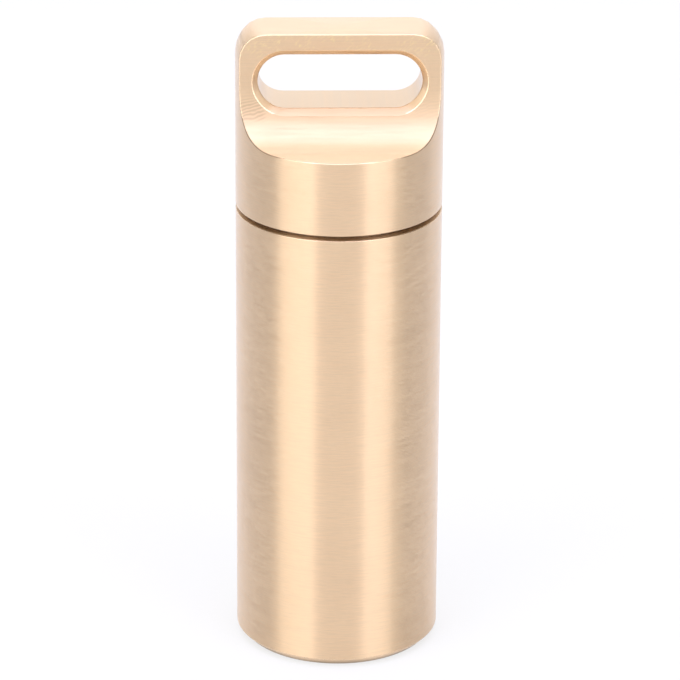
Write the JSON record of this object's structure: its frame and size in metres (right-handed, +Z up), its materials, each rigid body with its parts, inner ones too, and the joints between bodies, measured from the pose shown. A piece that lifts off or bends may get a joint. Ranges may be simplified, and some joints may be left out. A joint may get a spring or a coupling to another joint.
{
  "type": "pill capsule container",
  "caption": "Turned brass pocket container for pill capsules, with a screw cap milled to a flat slotted bow for a key ring.",
  "frame": {"origin": "middle of the flat base, on the tube's axis", "axes": "+Z up the tube's axis from the base to the bow, the bow's flat faces look along +Y and -Y, and its slot runs along Y"},
  "size_m": [0.02, 0.02, 0.0631],
  "materials": {
    "brushed_brass": "bare brass, turned and finely brushed round the tube and along the bow",
    "black_rubber": "matte black sealing rubber"
  },
  "bodies": {
    "container": {"container_body": "brushed_brass"},
    "seal": {"o_ring_seal": "black_rubber"},
    "cap": {"screw_cap": "brushed_brass"}
  },
  "joints": [
    {"name": "cap_lift", "type": "slide", "parent": "container", "child": "seal", "axis": [0, 0, 1], "range_m": [0, 0.009]},
    {"name": "cap_turn", "type": "hinge", "parent": "seal", "child": "cap", "pos_m": [0, 0, 0.0454], "axis": [0, 0, 1], "range_deg": [0, 2160]}
  ],
  "couplings": [
    {"joint": "cap_turn", "follows": "cap_lift", "rad_per_m": 4188.8}
  ]
}
